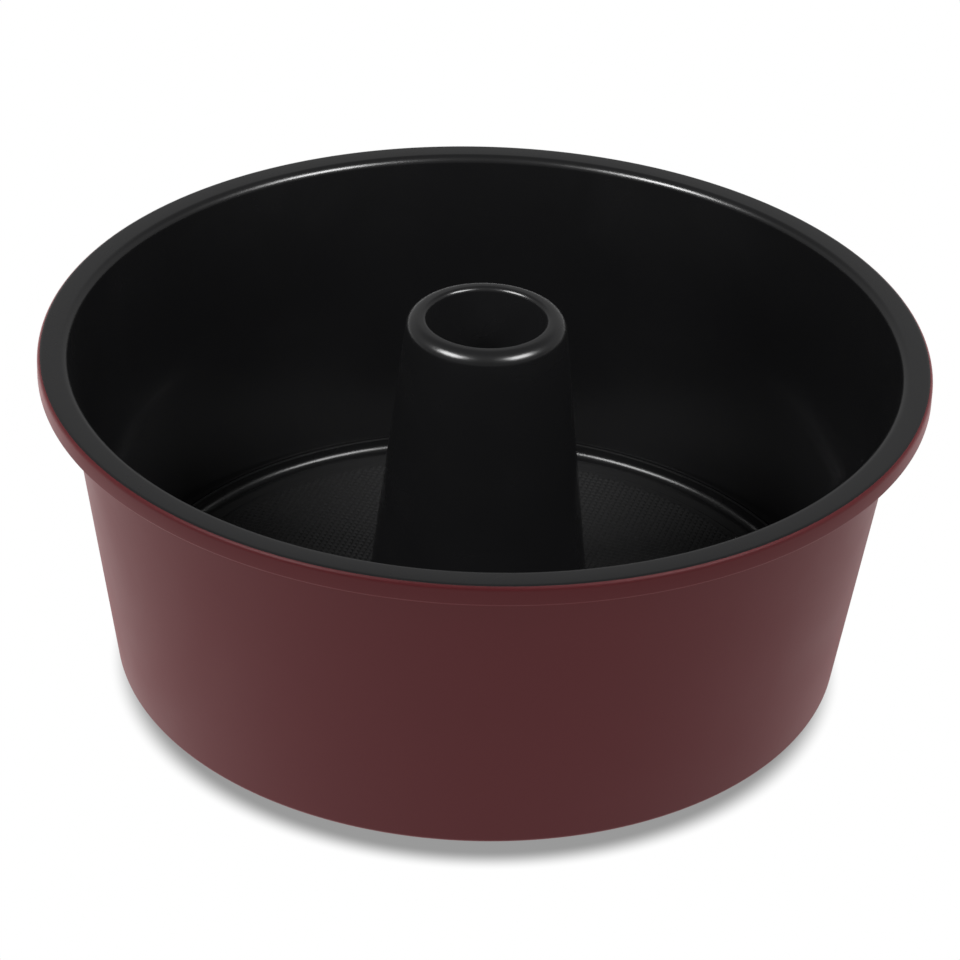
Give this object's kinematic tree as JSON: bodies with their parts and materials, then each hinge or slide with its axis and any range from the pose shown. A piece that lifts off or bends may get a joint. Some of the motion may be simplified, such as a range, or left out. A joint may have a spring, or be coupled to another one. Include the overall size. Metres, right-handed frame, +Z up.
{
  "type": "loose-base tube pan",
  "caption": "Round baking pan with a smooth tapered wall, turned-over rim and a lift-out base plate carrying a tapered centre tube, for ring cakes.",
  "frame": {"origin": "centre of the flat face that the pan stands on", "axes": "+Z up along the pan's axis, +X and +Y level; the pan is round, so their direction is free"},
  "size_m": [0.2558, 0.2558, 0.1071],
  "materials": {
    "ring_sheet": "bare rolled aluminium sheet, satin",
    "lining": "glossy black nonstick coat",
    "enamel": "satin burgundy baked enamel",
    "floor_coat": "black nonstick coat over a finely embossed floor",
    "tube_coat": "glossy black nonstick coat"
  },
  "bodies": {
    "ring": {"side_ring": "ring_sheet", "nonstick_lining": "lining", "outer_enamel": "enamel"},
    "base_insert": {"base_plate": "floor_coat", "center_tube": "tube_coat"}
  },
  "joints": [
    {"name": "base_lift", "type": "slide", "parent": "ring", "child": "base_insert", "axis": [0, 0, 1], "range_m": [0, 0.12]}
  ]
}
